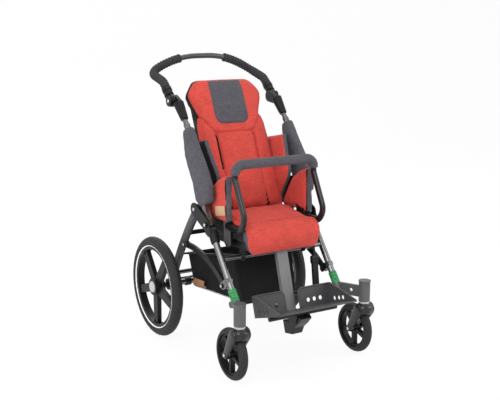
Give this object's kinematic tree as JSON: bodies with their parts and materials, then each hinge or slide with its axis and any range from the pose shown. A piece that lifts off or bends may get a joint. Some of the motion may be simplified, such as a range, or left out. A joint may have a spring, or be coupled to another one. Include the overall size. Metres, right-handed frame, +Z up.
{
  "type": "special needs buggy",
  "caption": "Folding special needs buggy with padded seat and headrest back, side supports, grab bar, tilting foot tray, basket, large rear wheels and swivel casters.",
  "frame": {"origin": "on the floor under the middle of the buggy's bounding box", "axes": "+X to the seated child's left, -Y to the front, +Z up"},
  "size_m": [0.625, 0.9098, 1.113],
  "materials": {
    "graphite_paint": "satin",
    "dark_plastic": "gloss",
    "black_steel": "satin",
    "tyre_rubber": "matte",
    "foam_grip": "matte",
    "bright_steel": "brushed",
    "red_fabric": "woven",
    "grey_fabric": "woven",
    "green_sleeve": "matte",
    "black_fabric": "woven",
    "footrest_plastic": "matte",
    "hub_grey": "satin"
  },
  "bodies": {
    "chassis": {"front_tube_left": "graphite_paint", "front_tube_right": "graphite_paint", "tube_sleeve_left": "green_sleeve", "tube_sleeve_right": "green_sleeve", "caster_head_left": "graphite_paint", "caster_head_right": "graphite_paint", "knuckle_left": "dark_plastic", "knuckle_right": "dark_plastic", "rear_leg_left": "graphite_paint", "rear_leg_right": "graphite_paint", "side_stay_left": "black_steel", "side_stay_right": "black_steel", "rear_axle_frame": "graphite_paint", "axle_pins": "bright_steel", "front_crossbar": "graphite_paint", "lower_crossbar": "black_steel", "seat_crossbar": "black_steel", "seat_rails": "black_steel", "seat_pan": "black_steel", "seat_cushion": "red_fabric", "seat_strut": "black_steel", "foot_hanger": "black_steel", "bar_post_left": "black_steel", "bar_post_right": "black_steel", "hip_pad_left": "red_fabric", "hip_pad_right": "red_fabric", "basket_rim": "black_steel", "basket": "black_fabric"},
    "push_frame": {"upper_tube_left": "graphite_paint", "upper_tube_right": "graphite_paint", "side_wing_left": "grey_fabric", "side_wing_right": "grey_fabric"},
    "handle": {"handle_bow": "graphite_paint", "grip_left": "foam_grip", "grip_right": "foam_grip", "hinge_knob_left": "dark_plastic", "hinge_knob_right": "dark_plastic"},
    "backrest": {"back_shell": "black_steel", "back_cushion": "red_fabric", "head_insert": "grey_fabric", "thorax_pad_left": "red_fabric", "thorax_pad_right": "red_fabric"},
    "grab_bar": {"grab_bar": "black_steel", "grab_bar_sleeve": "grey_fabric"},
    "footrest": {"foot_post": "graphite_paint"},
    "foot_tray": {"foot_tray": "footrest_plastic", "foot_tray_bar": "black_steel"},
    "brake": {"brake_pedal": "black_steel"},
    "rear_wheel_left": {"rear_tyre_left": "tyre_rubber", "rear_rim_left": "dark_plastic", "rear_hub_left": "hub_grey"},
    "caster_left": {"caster_fork_left": "dark_plastic"},
    "caster_wheel_left": {"caster_wheel_left": "dark_plastic", "caster_tyre_left": "tyre_rubber"},
    "rear_wheel_right": {"rear_tyre_right": "tyre_rubber", "rear_rim_right": "dark_plastic", "rear_hub_right": "hub_grey"},
    "caster_right": {"caster_fork_right": "dark_plastic"},
    "caster_wheel_right": {"caster_wheel_right": "dark_plastic", "caster_tyre_right": "tyre_rubber"}
  },
  "joints": [
    {"name": "frame_fold", "type": "hinge", "parent": "chassis", "child": "push_frame", "pos_m": [0, -0.06805, 0.508], "axis": [1, 0, 0], "range_deg": [0, 105]},
    {"name": "handle_angle", "type": "hinge", "parent": "push_frame", "child": "handle", "pos_m": [0, 0.20895, 0.941], "axis": [1, 0, 0], "range_deg": [-30, 35]},
    {"name": "backrest_recline", "type": "hinge", "parent": "chassis", "child": "backrest", "pos_m": [0, 0.06395, 0.492], "axis": [1, 0, 0], "range_deg": [-15, 0]},
    {"name": "bar_swing", "type": "hinge", "parent": "chassis", "child": "grab_bar", "pos_m": [-0.172, -0.16605, 0.694], "axis": [0, 0, -1], "range_deg": [0, 80]},
    {"name": "footrest_slide", "type": "slide", "parent": "chassis", "child": "footrest", "axis": [0, 0.284, 0.9588], "range_m": [0, 0.03]},
    {"name": "footplate_tilt", "type": "hinge", "parent": "footrest", "child": "foot_tray", "pos_m": [0, -0.28805, 0.19], "axis": [1, 0, 0], "range_deg": [-20, 8]},
    {"name": "brake_pedal", "type": "hinge", "parent": "chassis", "child": "brake", "pos_m": [0, 0.25495, 0.2], "axis": [1, 0, 0], "range_deg": [-20, 0]},
    {"name": "rear_spin_left", "type": "hinge", "parent": "chassis", "child": "rear_wheel_left", "pos_m": [0.287, 0.25495, 0.2], "axis": [1, 0, 0], "continuous": true},
    {"name": "rear_spin_right", "type": "hinge", "parent": "chassis", "child": "rear_wheel_right", "pos_m": [-0.287, 0.25495, 0.2], "axis": [1, 0, 0], "continuous": true},
    {"name": "caster_swivel_left", "type": "hinge", "parent": "chassis", "child": "caster_left", "pos_m": [0.272, -0.36305, 0.25], "axis": [0, 0, 1], "continuous": true},
    {"name": "caster_spin_left", "type": "hinge", "parent": "caster_left", "child": "caster_wheel_left", "pos_m": [0.272, -0.31005, 0.0945], "axis": [1, 0, 0], "continuous": true},
    {"name": "caster_swivel_right", "type": "hinge", "parent": "chassis", "child": "caster_right", "pos_m": [-0.272, -0.36305, 0.25], "axis": [0, 0, 1], "continuous": true},
    {"name": "caster_spin_right", "type": "hinge", "parent": "caster_right", "child": "caster_wheel_right", "pos_m": [-0.272, -0.31005, 0.0945], "axis": [1, 0, 0], "continuous": true}
  ]
}
